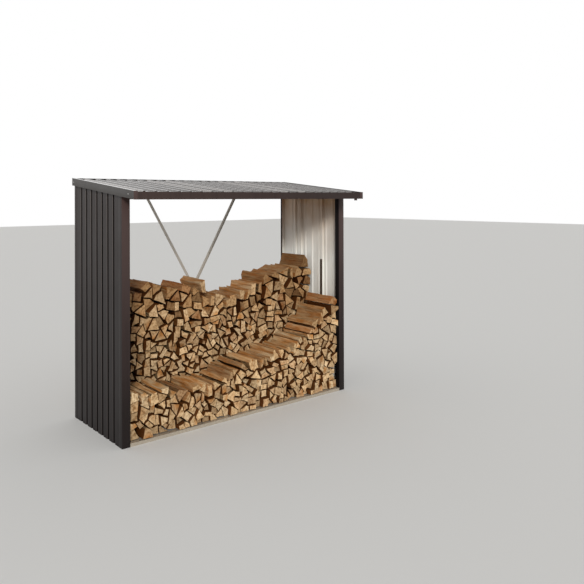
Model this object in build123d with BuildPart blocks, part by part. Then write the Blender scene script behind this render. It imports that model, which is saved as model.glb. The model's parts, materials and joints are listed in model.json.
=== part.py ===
"""Log store of folded steel sheet with a ribbed mono-pitch roof, filled with two rows of firewood.

X runs across the width, Y from the open front to the back, and Z is up, in millimetres.
The origin is on the ground, under the middle of the roof.
"""

import math
import os
import random

from build123d import *

# Body, measured over the outer faces of the posts
body_width = 2250.0
body_depth = 896.0

# Roof, measured over its trims
front_overhang = 234.0
side_overhang = 20.0
back_overhang = 2.0
front_height = 1872.0
back_height = 1990.0

# Clearance between pieces that are bolted or laid together
seat = 0.3

# Front posts, folded box sections
post_width = 64.0
post_depth = 52.0
post_wall = 1.5

# Rear posts, corner angles outside the wall sheets
rear_post_flange = 46.0
rear_post_leg = 45.0

# Wall sheets
wall_sheet = 1.0
wall_groove_depth = 8.0
wall_groove_mouth = 36.0
wall_groove_floor = 12.0
wall_groove_pitch = 101.5
wall_groove_margin = 110.0
wall_seam_from_front = 598.0
wall_edge_flange = 25.0

# Hat sections that stiffen the walls inside
stiffener_web = 30.0
stiffener_brim = 10.0
stiffener_depth = 18.0
stiffener_sheet = 1.0
front_stiffener_from_front = 294.0
rear_stiffener_from_front = 702.0
strip_width = 29.0
strip_thickness = 2.0
strip_bottom = 60.0
strip_top = 1217.0

# Base frame
base_height = 26.0
base_wall = 1.5
sill_depth = 50.0
base_rail_width = 45.0
base_rail_plate = 2.0
bearer_width = 40.0
bearer_from_log_end = 50.0
rear_rail_depth = 15.0
rear_base_rail_height = 50.0

# Anchor holes in the side base rails
anchor_hole_radius = 5.5
anchor_inset = 22.0
anchor_from_rail_end = 50.0

# Frame under the roof
top_rail_height = 40.0
top_rail_width = 30.0
header_height = 73.0
header_depth = 50.0
rear_top_rail_height = 50.0
rafter_width = 30.0
rafter_height = 30.0

# Roof sheets, with one rib on each seam
roof_sheet = 0.8
roof_rib_pitch = 95.0
roof_rib_height = 9.0
roof_rib_foot = 24.0
roof_rib_top = 12.0
ribs_to_seam = 4
roof_edge_upstand = 18.0

# Trims along the roof's edges
trim_sheet = 1.0
verge_height = 61.0
verge_top_flange = 25.0
verge_lower_return = 13.0
rear_trim_height = 40.0
rear_trim_flange = 26.0
cap_width = 33.0
cap_corner_radius = 8.0

# Gutter behind the front fascia
gutter_width = 50.0
gutter_sheet = 1.2
gutter_height = 62.0
gutter_front_drop = 6.0
gutter_hem = 6.0
gutter_cover = 12.0
outlet_from_end = 69.0
outlet_radius = 13.5
outlet_wall = 1.5
outlet_length = 15.0

# Braces across the open back
brace_half_span = 545.0
brace_width = 25.0
brace_leg = 12.0
brace_wall = 2.0
brace_leg_clear = 50.0

# Firewood: two rows of split logs lying along the depth
log_length_spread = 12.0
log_face_spread = 25.0
front_row_from_front = 28.0
rows_apart = 66.0
back_row_to_braces = 72.0
back_row_side_gap = 42.0
log_size = 65.0
top_log_size = 112.0
logs_grow_from = 650.0
logs_grow_to = 1080.0
log_gap = 0.5
log_growth = 11.0
growth_rounds = 2
least_fill = 0.45
least_corner_area = 30.0
stack_step = 3.0
logs_tried = 4
turns_tried = 6
least_slot = 0.6
topple_cost = 0.6
height_cost = 0.2
log_seed = 11

# Heights of the two rows of wood along the width, as shares of the row's half width and of the front height
front_row_profile = (
    (-1.0, 0.187), (-0.68, 0.190), (-0.53, 0.166), (-0.225, 0.178), (-0.085, 0.208), (0.135, 0.227),
    (0.385, 0.259), (0.63, 0.294), (0.71, 0.350), (0.845, 0.397), (0.92, 0.450), (1.0, 0.480),
)
back_row_profile = (
    (-1.0, 0.548), (-0.69, 0.552), (-0.68, 0.618), (-0.58, 0.605), (-0.55, 0.572), (-0.38, 0.578),
    (-0.23, 0.580), (-0.13, 0.565), (-0.10, 0.520), (0.14, 0.498), (0.24, 0.530), (0.40, 0.570),
    (0.55, 0.575), (0.64, 0.590), (0.78, 0.612), (0.90, 0.620), (0.93, 0.648), (1.0, 0.648),
)

# Places that follow from the sizes above
half_width = body_width / 2
roof_half_width = half_width + side_overhang
roof_depth = front_overhang + body_depth + back_overhang
roof_front_y = -roof_depth / 2
roof_back_y = roof_depth / 2
body_front_y = roof_front_y + front_overhang
body_back_y = body_front_y + body_depth
roof_slope = (back_height - front_height) / roof_depth
roof_pitch = math.degrees(math.atan(roof_slope))

wall_outer_x = half_width - post_wall
wall_inner_x = wall_outer_x - wall_sheet
wall_front_y = body_front_y + post_depth
wall_back_y = body_back_y - post_wall - seat
wall_seam_y = body_front_y + wall_seam_from_front

rib_top_drop = trim_sheet + seat
pan_drop = rib_top_drop + roof_rib_height
frame_drop = pan_drop + roof_sheet + seat
rail_bottom_drop = frame_drop + top_rail_height

rear_rail_back_y = wall_back_y
rear_rail_front_y = rear_rail_back_y - rear_rail_depth
header_back_y = body_front_y + header_depth
gutter_back_y = roof_front_y + gutter_width
gutter_bottom = front_height - gutter_height
post_inner_x = half_width - post_width
wall_ridge_x = wall_inner_x - wall_groove_depth
base_rail_outer_x = wall_ridge_x - seat
base_rail_inner_x = base_rail_outer_x - base_rail_width
top_rail_outer_x = wall_ridge_x - seat
top_rail_inner_x = top_rail_outer_x - top_rail_width

back_brace_y = rear_rail_front_y - seat - brace_wall / 2
front_brace_y = back_brace_y - brace_wall - seat
front_row_y = body_front_y + front_row_from_front
back_row_end_y = front_brace_y + brace_wall / 2 - brace_leg - back_row_to_braces
log_length = (back_row_end_y - front_row_y - rows_apart) / 2
back_row_y = front_row_y + log_length + rows_apart


def roof_z(y, drop=0.0):
    """Height of the plane that lies a drop below the top of the verge trims, square to the roof."""
    return front_height + (y - roof_front_y) * roof_slope - drop / math.cos(math.radians(roof_pitch))


def level_under_roof(y_from, y_to, drop):
    """Highest level that stays a drop below the roof over a whole band."""
    return min(roof_z(y_from, drop), roof_z(y_to, drop))


def roof_plane(drop):
    """The sloping plane that lies a drop below the top of the verge trims."""
    tilt = math.radians(roof_pitch)
    return Plane(
        origin=(0, roof_front_y, roof_z(roof_front_y, drop)),
        x_dir=(1, 0, 0),
        z_dir=(0, -math.sin(tilt), math.cos(tilt)),
    )


def slope_outline(x, y_from, y_to, drop_top, drop_bottom):
    """Side view of a band that follows the roof between two drops."""
    with BuildSketch(Plane.YZ.offset(x)) as outline:
        with BuildLine():
            Polyline(
                (y_from, roof_z(y_from, drop_bottom)),
                (y_to, roof_z(y_to, drop_bottom)),
                (y_to, roof_z(y_to, drop_top)),
                (y_from, roof_z(y_from, drop_top)),
                close=True,
            )
        make_face()
    return outline.sketch


def rectangle_outline(plane, low, high):
    """A rectangle on a plane between two corners."""
    with BuildSketch(plane) as outline:
        with Locations(((low[0] + high[0]) / 2, (low[1] + high[1]) / 2)):
            Rectangle(high[0] - low[0], high[1] - low[1])
    return outline.sketch


def export_piece(part, name):
    """Label a finished piece and write its STEP file."""
    part.label = name
    os.makedirs("parts", exist_ok=True)
    export_step(part, f"parts/{name}.step")


def side_name(side):
    """Name of the side of the store, with -1 on the left and 1 on the right."""
    return "left" if side < 0 else "right"


# Base frame


def front_sill():
    """Inverted channel between the front posts."""
    length = 2 * (post_inner_x - seat)
    with BuildPart() as sill:
        with BuildSketch(Plane.YZ.offset(-length / 2)):
            with BuildLine():
                Polyline(
                    (body_front_y, 0),
                    (body_front_y, base_height),
                    (body_front_y + sill_depth, base_height),
                    (body_front_y + sill_depth, 0),
                    (body_front_y + sill_depth - base_wall, 0),
                    (body_front_y + sill_depth - base_wall, base_height - base_wall),
                    (body_front_y + base_wall, base_height - base_wall),
                    (body_front_y + base_wall, 0),
                    close=True,
                )
            make_face()
        extrude(amount=length)
    return sill.part


def side_base_rail(side):
    """Angle along the foot of a side wall, with an anchor hole near each end."""
    anchor_x = base_rail_outer_x - anchor_inset
    rail_front_y = wall_front_y + seat
    with BuildPart() as rail:
        with BuildSketch(Plane.XZ.offset(-rail_front_y)):
            with BuildLine():
                Polyline(
                    (side * base_rail_outer_x, 0),
                    (side * base_rail_inner_x, 0),
                    (side * base_rail_inner_x, base_rail_plate),
                    (side * (base_rail_outer_x - base_wall), base_rail_plate),
                    (side * (base_rail_outer_x - base_wall), base_height),
                    (side * base_rail_outer_x, base_height),
                    close=True,
                )
            make_face()
        extrude(amount=-(wall_back_y - rail_front_y))
        with Locations(
            (side * anchor_x, rail_front_y + anchor_from_rail_end, base_rail_plate),
            (side * anchor_x, wall_back_y - anchor_from_rail_end, base_rail_plate),
        ):
            Hole(anchor_hole_radius, depth=2 * base_rail_plate)
    return rail.part


def rear_base_rail():
    """Box rail across the foot of the open back."""
    length = 2 * (base_rail_inner_x - seat)
    with BuildPart() as rail:
        plane = Plane.YZ.offset(-length / 2)
        low = (rear_rail_front_y, 0)
        high = (rear_rail_back_y, rear_base_rail_height)
        extrude(rectangle_outline(plane, low, high), amount=length)
        inner_low = (low[0] + base_wall, low[1] + base_wall)
        inner_high = (high[0] - base_wall, high[1] - base_wall)
        extrude(rectangle_outline(plane, inner_low, inner_high), amount=length, mode=Mode.SUBTRACT)
    return rail.part


def log_bearers():
    """Three inverted channels across the floor, which carry the wood."""
    length = 2 * (base_rail_inner_x - seat)
    with BuildPart() as bearers:
        for middle in (
            front_row_y + log_length - bearer_from_log_end,
            back_row_y + bearer_from_log_end,
            back_row_y + log_length - bearer_from_log_end,
        ):
            with BuildSketch(Plane.YZ.offset(-length / 2)):
                with Locations((middle, base_height / 2)):
                    Rectangle(bearer_width, base_height)
                with Locations((middle, (base_height - base_wall) / 2)):
                    Rectangle(
                        bearer_width - 2 * base_wall, base_height - base_wall, mode=Mode.SUBTRACT
                    )
            extrude(amount=length)
    return bearers.part


# Posts


def front_post(side):
    """Box section from the ground to the top rail, cut to the roof's slope."""
    outer_x = side * half_width
    low = (min(outer_x, outer_x - side * post_width), body_front_y)
    high = (low[0] + post_width, body_front_y + post_depth)
    with BuildPart() as post:
        extrude(rectangle_outline(Plane.XY, low, high), amount=back_height)
        inner_low = (low[0] + post_wall, low[1] + post_wall)
        inner_high = (high[0] - post_wall, high[1] - post_wall)
        extrude(
            rectangle_outline(Plane.XY, inner_low, inner_high),
            amount=back_height,
            mode=Mode.SUBTRACT,
        )
        split(bisect_by=roof_plane(rail_bottom_drop + seat), keep=Keep.BOTTOM)
    return post.part


def rear_post(side):
    """Corner angle outside the wall sheet, open towards the front."""
    with BuildPart() as post:
        with BuildSketch():
            with BuildLine():
                Polyline(
                    (side * half_width, body_back_y),
                    (side * (half_width - rear_post_flange), body_back_y),
                    (side * (half_width - rear_post_flange), body_back_y - post_wall),
                    (side * (half_width - post_wall), body_back_y - post_wall),
                    (side * (half_width - post_wall), body_back_y - rear_post_leg),
                    (side * half_width, body_back_y - rear_post_leg),
                    close=True,
                )
            make_face()
        extrude(amount=back_height)
        split(bisect_by=roof_plane(frame_drop), keep=Keep.BOTTOM)
    return post.part


# Side walls


def groove_positions():
    """Places of the wall's grooves along Y, centred on the body."""
    middle = (body_front_y + body_back_y) / 2
    gaps = int((body_depth - 2 * wall_groove_margin) / wall_groove_pitch)
    first = middle - gaps * wall_groove_pitch / 2
    return [first + index * wall_groove_pitch for index in range(gaps + 1)]


def wall_path(y_from, y_to):
    """Outer line of a wall sheet in plan, as (depth into the wall, y)."""
    points = [(0.0, y_from)]
    for groove in groove_positions():
        if y_from < groove - wall_groove_mouth / 2 and groove + wall_groove_mouth / 2 < y_to:
            points.append((0.0, groove - wall_groove_mouth / 2))
            points.append((wall_groove_depth, groove - wall_groove_floor / 2))
            points.append((wall_groove_depth, groove + wall_groove_floor / 2))
            points.append((0.0, groove + wall_groove_mouth / 2))
    points.append((0.0, y_to))
    return points


def wall_panel(side, y_from, y_to):
    """Ribbed sheet with a flange folded inwards at each upright edge."""
    outer = wall_path(y_from, y_to)
    inner = [(depth + wall_sheet, y) for depth, y in reversed(outer)]
    with BuildPart() as panel:
        with BuildSketch():
            with BuildLine():
                Polyline(*[(side * (wall_outer_x - depth), y) for depth, y in outer + inner], close=True)
            make_face()
        extrude(amount=back_height)
        split(bisect_by=roof_plane(frame_drop), keep=Keep.BOTTOM)
        for edge_y in (y_from, y_to - wall_sheet):
            extrude(flange_outline(side, edge_y), amount=-side * wall_edge_flange)
    return panel.part


def flange_outline(side, edge_y):
    """Side view of a wall sheet's edge flange, between the base rail and the top rail."""
    bottom = base_height + seat
    with BuildSketch(Plane.YZ.offset(side * wall_inner_x)) as outline:
        with BuildLine():
            Polyline(
                (edge_y, bottom),
                (edge_y + wall_sheet, bottom),
                (edge_y + wall_sheet, roof_z(edge_y + wall_sheet, rail_bottom_drop + seat)),
                (edge_y, roof_z(edge_y, rail_bottom_drop + seat)),
                close=True,
            )
        make_face()
    return outline.sketch


def stiffener(side, from_front):
    """Upright hat section on the inside of a wall sheet."""
    middle = body_front_y + from_front
    back_x = wall_inner_x - seat
    half_web = stiffener_web / 2
    half_brim = half_web + stiffener_brim
    outline = (
        (0.0, -half_brim), (0.0, -half_web), (stiffener_depth - stiffener_sheet, -half_web),
        (stiffener_depth - stiffener_sheet, half_web), (0.0, half_web), (0.0, half_brim),
        (stiffener_sheet, half_brim), (stiffener_sheet, half_web + stiffener_sheet),
        (stiffener_depth, half_web + stiffener_sheet), (stiffener_depth, -half_web - stiffener_sheet),
        (stiffener_sheet, -half_web - stiffener_sheet), (stiffener_sheet, -half_brim),
    )
    with BuildPart() as hat:
        with BuildSketch(Plane.XY.offset(base_height + seat)):
            with BuildLine():
                Polyline(*[(side * (back_x - depth), middle + y) for depth, y in outline], close=True)
            make_face()
        extrude(amount=back_height)
        split(bisect_by=roof_plane(rail_bottom_drop + seat), keep=Keep.BOTTOM)
    return hat.part


def wall_strip(side):
    """Flat strip low down on the front stiffener."""
    back_x = wall_inner_x - stiffener_depth - 2 * seat
    middle = body_front_y + front_stiffener_from_front
    low = (middle - strip_width / 2, strip_bottom)
    high = (middle + strip_width / 2, strip_top)
    with BuildPart() as strip:
        outline = rectangle_outline(Plane.YZ.offset(side * back_x), low, high)
        extrude(outline, amount=-side * strip_thickness)
    return strip.part


# Frame under the roof


def slope_box(x_from, x_to, y_from, y_to, height):
    """Box section that follows the roof's underside."""
    bottom = frame_drop + height
    with BuildPart() as box:
        extrude(slope_outline(x_from, y_from, y_to, frame_drop, bottom), amount=x_to - x_from)
        extrude(
            slope_outline(
                x_from + post_wall, y_from, y_to, frame_drop + post_wall, bottom - post_wall
            ),
            amount=x_to - x_from - 2 * post_wall,
            mode=Mode.SUBTRACT,
        )
    return box.part


def top_rail(side):
    """Rail along the top of a wall, from the gutter to the rear post."""
    edges = sorted((side * top_rail_outer_x, side * top_rail_inner_x))
    return slope_box(edges[0], edges[1], gutter_back_y + seat, wall_back_y, top_rail_height)


def rafter(side):
    """Box section under a seam of the roof, from the header to the rear rail."""
    middle = side * ribs_to_seam * roof_rib_pitch
    return slope_box(
        middle - rafter_width / 2,
        middle + rafter_width / 2,
        header_back_y + seat,
        rear_rail_front_y - seat,
        rafter_height,
    )


def front_header():
    """Channel across the front between the posts, open to the back."""
    length = 2 * (post_inner_x - seat)
    top = level_under_roof(body_front_y, header_back_y, frame_drop)
    bottom = top - header_height
    with BuildPart() as header:
        plane = Plane.YZ.offset(-length / 2)
        outer_low = (body_front_y, bottom)
        outer_high = (header_back_y, top)
        extrude(rectangle_outline(plane, outer_low, outer_high), amount=length)
        inner_low = (body_front_y + post_wall, bottom + post_wall)
        inner_high = (header_back_y, top - post_wall)
        extrude(rectangle_outline(plane, inner_low, inner_high), amount=length, mode=Mode.SUBTRACT)
    return header.part


def rear_top_rail():
    """Box rail across the top of the open back."""
    length = 2 * (top_rail_inner_x - seat)
    top = level_under_roof(rear_rail_front_y, rear_rail_back_y, frame_drop)
    with BuildPart() as rail:
        plane = Plane.YZ.offset(-length / 2)
        low = (rear_rail_front_y, top - rear_top_rail_height)
        high = (rear_rail_back_y, top)
        extrude(rectangle_outline(plane, low, high), amount=length)
        inner_low = (low[0] + post_wall, low[1] + post_wall)
        inner_high = (high[0] - post_wall, high[1] - post_wall)
        extrude(rectangle_outline(plane, inner_low, inner_high), amount=length, mode=Mode.SUBTRACT)
    return rail.part


# Roof sheets


def rib_points(middle):
    """The four corners of a roof rib, as (x, height)."""
    return [
        (middle - roof_rib_foot / 2, 0.0),
        (middle - roof_rib_top / 2, roof_rib_height),
        (middle + roof_rib_top / 2, roof_rib_height),
        (middle + roof_rib_foot / 2, 0.0),
    ]


def roof_panel(points):
    """Ribbed sheet laid along the slope, from the gutter to the rear trim, with upright ends."""
    start_y = gutter_back_y - gutter_cover
    end_y = roof_back_y - trim_sheet - seat
    tilt = math.radians(roof_pitch)
    lower = [(x, roof_z(start_y, pan_drop + roof_sheet - height)) for x, height in points]
    upper = [(x, roof_z(start_y, pan_drop - height)) for x, height in reversed(points)]
    with BuildPart() as panel:
        with BuildSketch(Plane.XZ.offset(-start_y)) as section:
            with BuildLine():
                Polyline(*lower, *upper, close=True)
            make_face()
        run = (end_y - start_y) / math.cos(tilt)
        extrude(section.sketch, amount=run, dir=(0, math.cos(tilt), math.sin(tilt)))
    return panel.part


def middle_roof_points():
    """Lower line of the middle sheet, which laps both seams with its outer ribs."""
    points = []
    for index in range(-ribs_to_seam, ribs_to_seam + 1):
        points += rib_points(index * roof_rib_pitch)
    return points


def side_roof_points(side):
    """Lower line of a side sheet, from the seam to the upstand under the verge trim."""
    seam_x = ribs_to_seam * roof_rib_pitch
    edge_x = roof_half_width - trim_sheet - seat
    slant = (roof_rib_foot - roof_rib_top) / 2
    last_rib_x = edge_x - roof_edge_upstand - slant - roof_rib_foot / 2
    points = [(seam_x + roof_rib_foot / 2 + seat, 0.0)]
    for index in range(1, int((last_rib_x - seam_x) / roof_rib_pitch) + 1):
        points += rib_points(seam_x + index * roof_rib_pitch)
    points.append((edge_x - roof_edge_upstand - slant, 0.0))
    points.append((edge_x - roof_edge_upstand, roof_rib_height))
    points.append((edge_x, roof_rib_height))
    return [(side * x, height) for x, height in points]


# Trims and gutter


def verge_trim(side):
    """Folded trim along the side of the roof."""
    outer_x = side * roof_half_width
    y_from = roof_front_y + trim_sheet
    flange_bottom = verge_height - trim_sheet
    with BuildPart() as trim:
        face = slope_outline(outer_x, y_from, roof_back_y, 0, verge_height)
        extrude(face, amount=-side * trim_sheet)
        top = slope_outline(outer_x, y_from, roof_back_y, 0, trim_sheet)
        extrude(top, amount=-side * verge_top_flange)
        lower = slope_outline(outer_x, y_from, roof_back_y, flange_bottom, verge_height)
        extrude(lower, amount=-side * verge_lower_return)
    return trim.part


def rear_trim():
    """Folded trim along the back of the roof, between the verge trims."""
    half_length = roof_half_width - trim_sheet - seat
    flange_half = roof_half_width - verge_top_flange - seat
    top_z = roof_z(roof_back_y, 0)
    with BuildPart() as trim:
        low = (-half_length, top_z - rear_trim_height)
        high = (half_length, top_z - trim_sheet - seat)
        extrude(rectangle_outline(Plane.XZ.offset(-roof_back_y), low, high), amount=trim_sheet)
        flange = slope_outline(-flange_half, roof_back_y - rear_trim_flange, roof_back_y, 0, trim_sheet)
        extrude(flange, amount=2 * flange_half)
        fold = slope_outline(-flange_half, roof_back_y - trim_sheet, roof_back_y, 0, rear_trim_height / 2)
        extrude(fold, amount=2 * flange_half)
    return trim.part


def front_gutter():
    """Trough with a tall front that makes the fascia, a hemmed lip and a hole for the outlet."""
    length = 2 * (roof_half_width - cap_width - seat)
    front_top = front_height - gutter_front_drop
    back_top = roof_z(gutter_back_y - gutter_sheet, pan_drop + roof_sheet + seat)
    with BuildPart() as gutter:
        with BuildSketch(Plane.YZ.offset(-length / 2)):
            with BuildLine():
                Polyline(
                    (roof_front_y, gutter_bottom),
                    (gutter_back_y, gutter_bottom),
                    (gutter_back_y, back_top),
                    (gutter_back_y - gutter_sheet, back_top),
                    (gutter_back_y - gutter_sheet, gutter_bottom + gutter_sheet),
                    (roof_front_y + gutter_sheet, gutter_bottom + gutter_sheet),
                    (roof_front_y + gutter_sheet, front_top - gutter_sheet),
                    (roof_front_y + gutter_hem, front_top - gutter_sheet),
                    (roof_front_y + gutter_hem, front_top),
                    (roof_front_y, front_top),
                    close=True,
                )
            make_face()
        extrude(amount=length)
        outlet_x = roof_half_width - outlet_from_end
        with Locations((outlet_x, roof_front_y + gutter_width / 2, gutter_bottom + gutter_sheet)):
            Hole(outlet_radius - outlet_wall, depth=2 * gutter_sheet)
    return gutter.part


def gutter_outlet():
    """Short spigot under the right end of the gutter."""
    outlet_x = roof_half_width - outlet_from_end
    plane = Plane.XY.offset(gutter_bottom)
    with BuildPart() as spigot:
        with BuildSketch(plane):
            with Locations((outlet_x, roof_front_y + gutter_width / 2)):
                Circle(outlet_radius)
                Circle(outlet_radius - outlet_wall, mode=Mode.SUBTRACT)
        extrude(amount=-outlet_length)
    return spigot.part


def corner_cap(side):
    """Folded cap that closes the gutter's end and the front of the verge trim."""
    outer_x = side * roof_half_width
    inner_x = outer_x - side * cap_width
    low_z = gutter_bottom
    high_z = roof_z(roof_front_y, 0)
    with BuildPart() as cap:
        with BuildSketch(Plane.XZ.offset(-roof_front_y)) as face:
            with Locations(((outer_x + inner_x) / 2, (low_z + high_z) / 2)):
                Rectangle(cap_width, high_z - low_z)
            top_corners = face.vertices().group_by(Axis.Y)[-1]
            inner_corner = top_corners.sort_by(Axis.X)[0 if side > 0 else -1]
            fillet(inner_corner, radius=cap_corner_radius)
        extrude(amount=-trim_sheet)
        end_low = (roof_front_y, low_z)
        end_high = (gutter_back_y, high_z - gutter_front_drop - cap_corner_radius)
        end_plane = Plane.YZ.offset(inner_x)
        extrude(rectangle_outline(end_plane, end_low, end_high), amount=side * trim_sheet)
    return cap.part


# Braces


def brace(side, plane_y, leg_side):
    """Angle from high on one side of the back to low on the other."""
    top_z = roof_z(rear_rail_front_y, frame_drop) - rear_top_rail_height / 2
    start = Vector(side * brace_half_span, plane_y, top_z)
    finish = Vector(-side * brace_half_span, plane_y, rear_base_rail_height / 2)
    run = finish - start
    leg_start = start + run.normalized() * brace_leg_clear
    across = Vector(0, 1, 0)
    with BuildPart() as angle:
        with BuildSketch(Plane(origin=start, x_dir=across, z_dir=run)):
            Rectangle(brace_wall, brace_width)
        extrude(amount=run.length)
        with BuildSketch(Plane(origin=leg_start, x_dir=across, z_dir=run)):
            with Locations((leg_side * (brace_leg - brace_wall) / 2, (brace_width - brace_wall) / 2)):
                Rectangle(brace_leg, brace_wall)
        extrude(amount=run.length - 2 * brace_leg_clear)
    return angle.part


# Firewood


def profile_height(profile, share):
    """Height of a row of wood at a share of its half width."""
    for (share_low, part_low), (share_high, part_high) in zip(profile, profile[1:]):
        if share <= share_high:
            along = (share - share_low) / (share_high - share_low)
            return front_height * (part_low + (part_high - part_low) * along)
    return front_height * profile[-1][1]


def log_size_at(height):
    """Usual size of a log's end at a height: the small ones lie low, the large ones on top."""
    share = (height - logs_grow_from) / (logs_grow_to - logs_grow_from)
    return log_size + (top_log_size - log_size) * min(max(share, 0.0), 1.0)


def arc_corners(radius, opening, count, dice):
    """Corners along the round bark side of a log."""
    steps = [opening * (index / (count - 1) - 0.5) for index in range(count)]
    radii = [radius * dice.uniform(0.97, 1.03) for _ in steps]
    return [(reach * math.cos(angle), reach * math.sin(angle)) for reach, angle in zip(radii, steps)]


def split_shape(size, dice):
    """End view of a split log: a wedge, a wedge without its tip, a board or a half round."""
    kind = dice.choice(("wedge", "wedge", "blunt", "blunt", "board", "board", "half"))
    if kind == "wedge":
        corners = [(0.0, 0.0)] + arc_corners(1.0, dice.uniform(0.8, 1.4), 3, dice)
    elif kind == "blunt":
        opening = dice.uniform(0.7, 1.2)
        inner = arc_corners(dice.uniform(0.3, 0.5), opening, 2, dice)
        corners = inner[::-1] + arc_corners(1.0, opening, 3, dice)
    elif kind == "board":
        tall = dice.uniform(0.5, 0.95)
        signs = ((-1, -1), (1, -1), (1, 1), (-1, 1))
        corners = [(x * dice.uniform(0.8, 1.1), z * tall * dice.uniform(0.8, 1.1)) for x, z in signs]
    else:
        corners = arc_corners(1.0, dice.uniform(2.5, 3.0), 5, dice)
    wanted = 0.72 * size**2 * dice.uniform(0.45, 1.4)
    scale = math.sqrt(wanted / polygon_area(corners))
    return [(x * scale, z * scale) for x, z in corners]


def polygon_area(corners):
    """Area of a polygon whose corners run anticlockwise."""
    pairs = zip(corners, corners[1:] + corners[:1])
    return sum(x1 * z2 - x2 * z1 for (x1, z1), (x2, z2) in pairs) / 2


def turned(corners, angle):
    """A shape turned round its own middle."""
    middle_x = sum(x for x, _ in corners) / len(corners)
    middle_z = sum(z for _, z in corners) / len(corners)
    cosine, sine = math.cos(angle), math.sin(angle)
    return [
        (
            (x - middle_x) * cosine - (z - middle_z) * sine,
            (x - middle_x) * sine + (z - middle_z) * cosine,
        )
        for x, z in corners
    ]


def shifted(corners, x_shift, z_shift):
    """A shape moved sideways and up."""
    return [(x + x_shift, z + z_shift) for x, z in corners]


def x_range(corners):
    """Left and right end of a shape."""
    return min(x for x, _ in corners), max(x for x, _ in corners)


def span_at(corners, x):
    """Lowest and highest point of a shape at a place along the width."""
    left, right = x_range(corners)
    place = min(max(x, left), right)
    heights = []
    for (x1, z1), (x2, z2) in zip(corners, corners[1:] + corners[:1]):
        if x1 == x2 == place:
            heights += [z1, z2]
        elif x1 != x2 and min(x1, x2) <= place <= max(x1, x2):
            heights.append(z1 + (z2 - z1) * (place - x1) / (x2 - x1))
    return min(heights), max(heights)


def spans_of(corners):
    """Lowest and highest point of a shape at each step across it."""
    left, right = x_range(corners)
    count = math.ceil((right - left) / stack_step) + 1
    return [span_at(corners, left + index * stack_step) for index in range(count)]


def rise_onto(corners, laid):
    """How far up a log goes to lie a gap above all logs under it and the base."""
    left, right = x_range(corners)
    rise = base_height + log_gap - min(z for _, z in corners)
    for other in laid:
        other_left, other_right = x_range(other)
        low = max(left - log_gap, other_left)
        high = min(right + log_gap, other_right)
        if low <= high:
            places = [x for x, _ in corners + other if low < x < high]
            for x in [low, high] + places:
                rise = max(rise, span_at(other, x)[1] + log_gap - span_at(corners, x)[0])
    return rise


def slot_beside(skyline, start, way, level, size):
    """Width left open between a log and the next higher place, where it is too narrow for another log."""
    index = start
    while 0 <= index < len(skyline) and skyline[index] < level:
        index += way
    width = abs(index - start) * stack_step
    return width if width < least_slot * size else 0.0


def hollow_left(corners, spans, skyline, start, size):
    """Height at which a log comes to rest, and how badly it fits there, as a share of its own area."""
    lows = [low - skyline[start + index] for index, (low, _) in enumerate(spans)]
    height = -min(lows)
    under = sum(low + height for low in lows) * stack_step
    level = height + max(high for _, high in spans) - size / 2
    left_slot = slot_beside(skyline, start - 1, -1, level, size)
    right_slot = slot_beside(skyline, start + len(spans), 1, level, size)
    area = polygon_area(corners)
    misfit = (under + (left_slot + right_slot) * size / 2) / area
    touching = [index for index, low in enumerate(lows) if low + height < stack_step]
    middle = -x_range(corners)[0] / stack_step
    if not touching[0] <= middle <= touching[-1]:
        misfit += topple_cost
    return height, misfit


def best_log(skyline, spot, dice):
    """Of a few logs, each turned a few ways, the one that fits best where the row is lowest."""
    size = log_size_at(skyline[spot])
    best = None
    for _ in range(logs_tried):
        shape = split_shape(size, dice)
        for _ in range(turns_tried):
            corners = turned(shape, dice.uniform(0.0, 2 * math.pi))
            spans = spans_of(corners)
            last = len(spans) - 1
            top = max(high for _, high in spans)
            for start in range(max(0, spot - last), min(spot, len(skyline) - 1 - last) + 1, 2):
                height, misfit = hollow_left(corners, spans, skyline, start, size)
                score = misfit + height_cost * (height + top - skyline[spot]) / size
                if best is None or score < best[0]:
                    best = (score, corners, start)
    return best[1], best[2]


def sides_of(corners):
    """Outward direction of each side of a shape, and how far out along it the side lies."""
    sides = []
    for (x1, z1), (x2, z2) in zip(corners, corners[1:] + corners[:1]):
        length = math.hypot(x2 - x1, z2 - z1)
        direction = ((z2 - z1) / length, (x1 - x2) / length)
        sides.append((direction, x1 * direction[0] + z1 * direction[1]))
    return sides


def parting_line(first, second):
    """Direction across the widest gap from one shape to another, and where the gap's middle lies."""
    widest = None
    for here, there, way in ((first, second, 1), (second, first, -1)):
        for direction, reach in sides_of(here):
            far_reach = min(x * direction[0] + z * direction[1] for x, z in there)
            if widest is None or far_reach - reach > widest:
                widest = far_reach - reach
                line = (direction[0] * way, direction[1] * way), (reach + far_reach) / 2 * way
    return line


def cut_off(corners, direction, limit):
    """What is left of a shape when all that lies beyond a line is cut off."""
    kept = []
    beyond = [x * direction[0] + z * direction[1] - limit for x, z in corners]
    for index, corner in enumerate(corners):
        last = corners[index - 1]
        if (beyond[index] < 0) != (beyond[index - 1] < 0):
            share = beyond[index - 1] / (beyond[index - 1] - beyond[index])
            kept.append((last[0] + (corner[0] - last[0]) * share, last[1] + (corner[1] - last[1]) * share))
        if beyond[index] < 0:
            kept.append(corner)
    return kept


def without_small_corners(corners, most):
    """A shape with its smallest corners cut off until few enough are left."""
    while True:
        areas = [
            polygon_area([corners[index - 1], corner, corners[(index + 1) % len(corners)]])
            for index, corner in enumerate(corners)
        ]
        smallest = areas.index(min(areas))
        if len(corners) <= most and areas[smallest] > least_corner_area:
            return corners
        corners = corners[:smallest] + corners[smallest + 1 :]


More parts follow.
